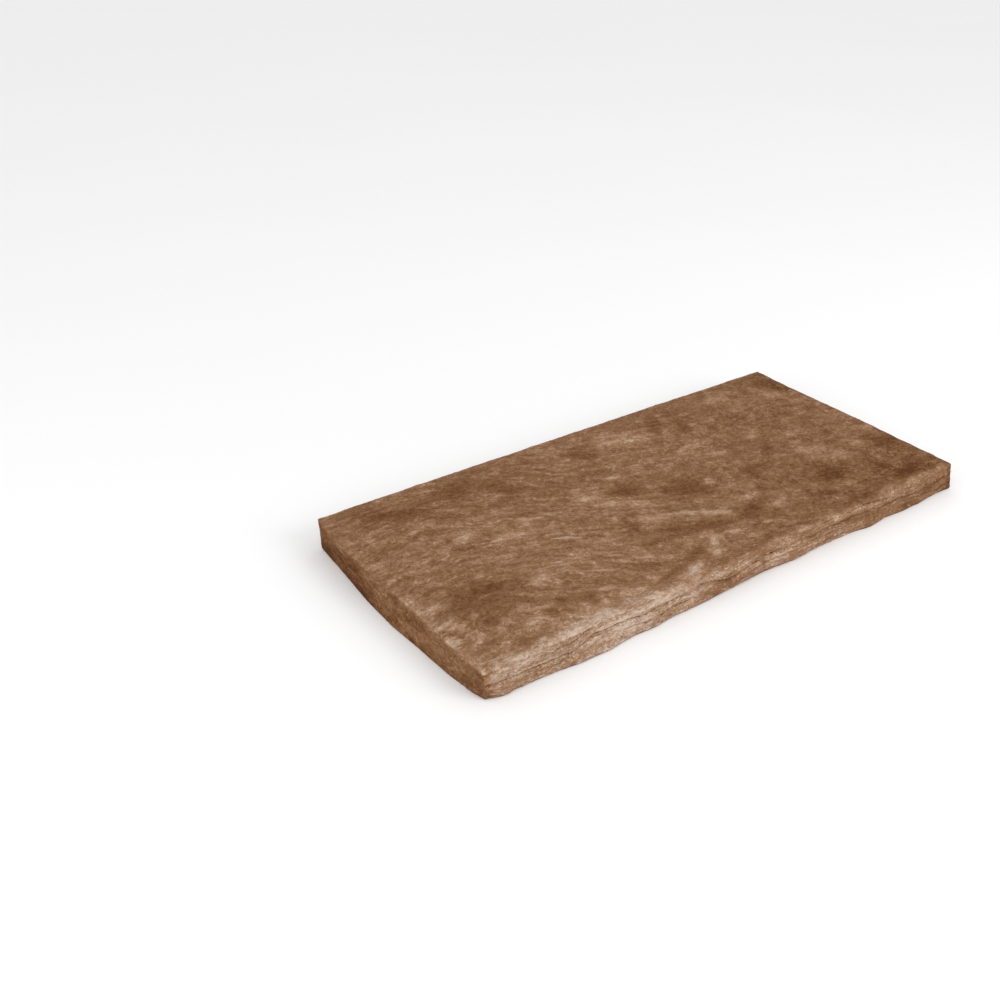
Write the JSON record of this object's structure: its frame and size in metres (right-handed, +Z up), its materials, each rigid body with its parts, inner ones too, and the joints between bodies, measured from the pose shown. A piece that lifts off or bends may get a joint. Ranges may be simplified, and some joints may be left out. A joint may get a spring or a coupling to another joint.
{
  "type": "fiberglass insulation batt",
  "caption": "Unfaced glass mineral wool batt: a springy rectangular slab that friction-fits between studs or joists as thermal and acoustic insulation.",
  "frame": {"origin": "centre of the underside of the batt, on the surface that it lies on", "axes": "+X along the length, +Y across the width, +Z up through the thickness"},
  "size_m": [1.25, 0.6, 0.06],
  "materials": {
    "glass_wool": "matte"
  },
  "bodies": {
    "root": {"batt": "glass_wool"}
  },
  "joints": []
}
